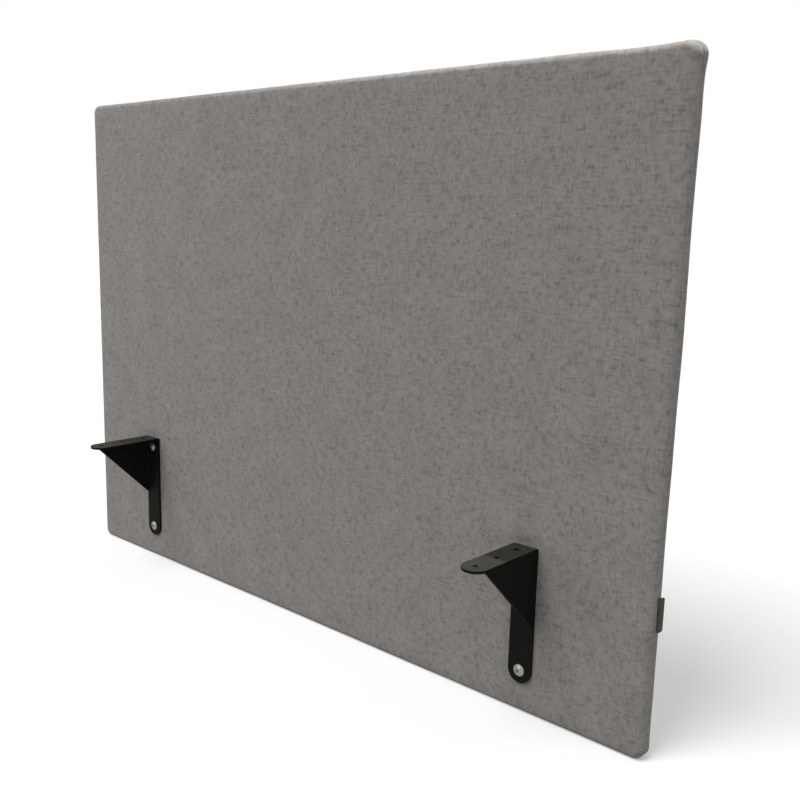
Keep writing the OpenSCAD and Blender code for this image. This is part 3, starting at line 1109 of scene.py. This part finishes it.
repaint(RAIL_WOOD, "top_rail", "bottom_rail")
repaint(POST_WOOD, "left_stile", "right_stile", "left_post", "right_post", "frame_dowels")
repaint(FELT, "left_core", "centre_core", "right_core")
repaint(STRIP, "closing_strip")
repaint(WIRE, "closing_staples")
repaint(BRASS, *(f"{name}_insert" for _, _, name in screw_places()))


# Floor, world, lights and camera

# The floor: its tone as it is seen and as it lights the screen, and light of its own
FLOOR_SIZE = 30
FLOOR_BELOW = 0.2 * MM
FLOOR_TONE = 0.8
FLOOR_BOUNCE = 0.4
FLOOR_LIFT = 0.285
WORLD_FILL = 0.4
WHITE = (1, 1, 1, 1)


def seen_directly(tree):
    """1 for camera, glossy and transmission rays."""
    path = node(tree, "LightPath").outputs
    seen = math_node(tree, "MAXIMUM", path["Is Camera Ray"], path["Is Glossy Ray"])
    return math_node(tree, "MAXIMUM", seen, path["Is Transmission Ray"])


def make_floor():
    """A pale floor that shows white where it is lit and keeps the soft shadow."""
    bpy.ops.object.select_all(action="DESELECT")
    bpy.ops.mesh.primitive_plane_add(size=FLOOR_SIZE, location=(0, 0, PANEL_LOW.z - FLOOR_BELOW))
    floor = settle(named("floor"))
    made = bpy.data.materials.new("pale_floor")
    made.use_nodes = True
    tree = made.node_tree
    tree.nodes.clear()
    plain = node(tree, "BsdfDiffuse", inputs={"Color": (FLOOR_TONE, FLOOR_TONE, FLOOR_TONE, 1)})
    bounce = node(
        tree, "BsdfDiffuse", inputs={"Color": (FLOOR_BOUNCE, FLOOR_BOUNCE, FLOOR_BOUNCE, 1)}
    )
    lift = node(tree, "Emission", inputs={"Color": WHITE, "Strength": FLOOR_LIFT})
    both = node(tree, "AddShader", inputs={0: plain.outputs[0], 1: lift.outputs[0]})
    mixed = node(
        tree, "MixShader",
        inputs={0: seen_directly(tree), 1: bounce.outputs[0], 2: both.outputs[0]},
    )
    node(tree, "OutputMaterial", inputs={"Surface": mixed.outputs[0]})
    floor.data.materials.append(made)


def make_world():
    """A weak even fill that shows white where it is seen."""
    world = bpy.data.worlds.new("studio")
    bpy.context.scene.world = world
    world.use_nodes = True
    tree = world.node_tree
    tree.nodes.clear()
    fill = node(tree, "Background", inputs={"Color": WHITE, "Strength": WORLD_FILL})
    white = node(tree, "Background", inputs={"Color": WHITE, "Strength": 1.0})
    mixed = node(
        tree, "MixShader",
        inputs={0: seen_directly(tree), 1: fill.outputs[0], 2: white.outputs[0]},
    )
    node(tree, "OutputWorld", inputs={"Surface": mixed.outputs[0]})


def make_light(name, kind, place, energy, aim=(0, 0, 0), unlit=None, glossy=True, **values):
    """Adds a lamp. It leaves out the unlit collection, and may leave out reflections of itself."""
    data = bpy.data.lights.new(name, kind)
    data.energy = energy
    for key, value in values.items():
        setattr(data, key, value)
    light = bpy.data.objects.new(name, data)
    light.location = place
    light.rotation_euler = (Vector(aim) - Vector(place)).to_track_quat("-Z", "Y").to_euler()
    light.visible_glossy = glossy
    bpy.context.scene.collection.objects.link(light)
    if unlit:
        light.light_linking.receiver_collection = unlit


def make_lights():
    """A broad high lamp in front, and five that light the screen but not the white floor."""
    unlit = bpy.data.collections.new("left_out_by_lamps")
    unlit.objects.link(bpy.data.objects["floor"])
    unlit.collection_objects[0].light_linking.link_state = "EXCLUDE"
    make_light(
        "front_softbox", "SUN", place=(-1.5, -5.0, 8.4), energy=2.12, angle=math.radians(34)
    )
    make_light(
        "left_softbox", "AREA", place=(-1.6, -1.3, 1.05), aim=(-0.2, 0.06, 0.22), energy=7.2,
        unlit=unlit, glossy=False, shape="SQUARE", size=0.8,
    )
    make_light(
        "ceiling_spot", "SPOT", place=(0.5, 0.289, 2.41), aim=(0.5, 0.289, 0), energy=215,
        unlit=unlit, glossy=False, spot_size=math.radians(48), spot_blend=1.0,
        shadow_soft_size=0.01,
    )
    make_light(
        "back_fill", "SUN", place=(-1.5, 4, 1), energy=0.9, unlit=unlit, angle=math.radians(60)
    )
    make_light(
        "right_fill", "SUN", place=(4, -0.6, 1.0), energy=0.66, unlit=unlit,
        angle=math.radians(60),
    )
    make_light(
        "ceiling_lamp", "SUN", place=(0, 0.45, 4), energy=1.2, unlit=unlit,
        angle=math.radians(1.2),
    )


CAMERA_PLACE = (0.8936, -0.7707, 0.3389)
CAMERA_TURN = (79.394, -1.536, 41.846)
CAMERA_LENS = 42.69
CAMERA_SENSOR = 36


def make_camera():
    """The camera at the photograph's place, with its turn in degrees."""
    data = bpy.data.cameras.new("photo_camera")
    data.lens = CAMERA_LENS
    data.sensor_width = CAMERA_SENSOR
    camera = bpy.data.objects.new("photo_camera", data)
    camera.location = CAMERA_PLACE
    camera.rotation_euler = [math.radians(angle) for angle in CAMERA_TURN]
    bpy.context.scene.collection.objects.link(camera)
    bpy.context.scene.camera = camera


make_floor()
make_world()
make_lights()
make_camera()
bpy.context.scene.view_settings.view_transform = "Standard"
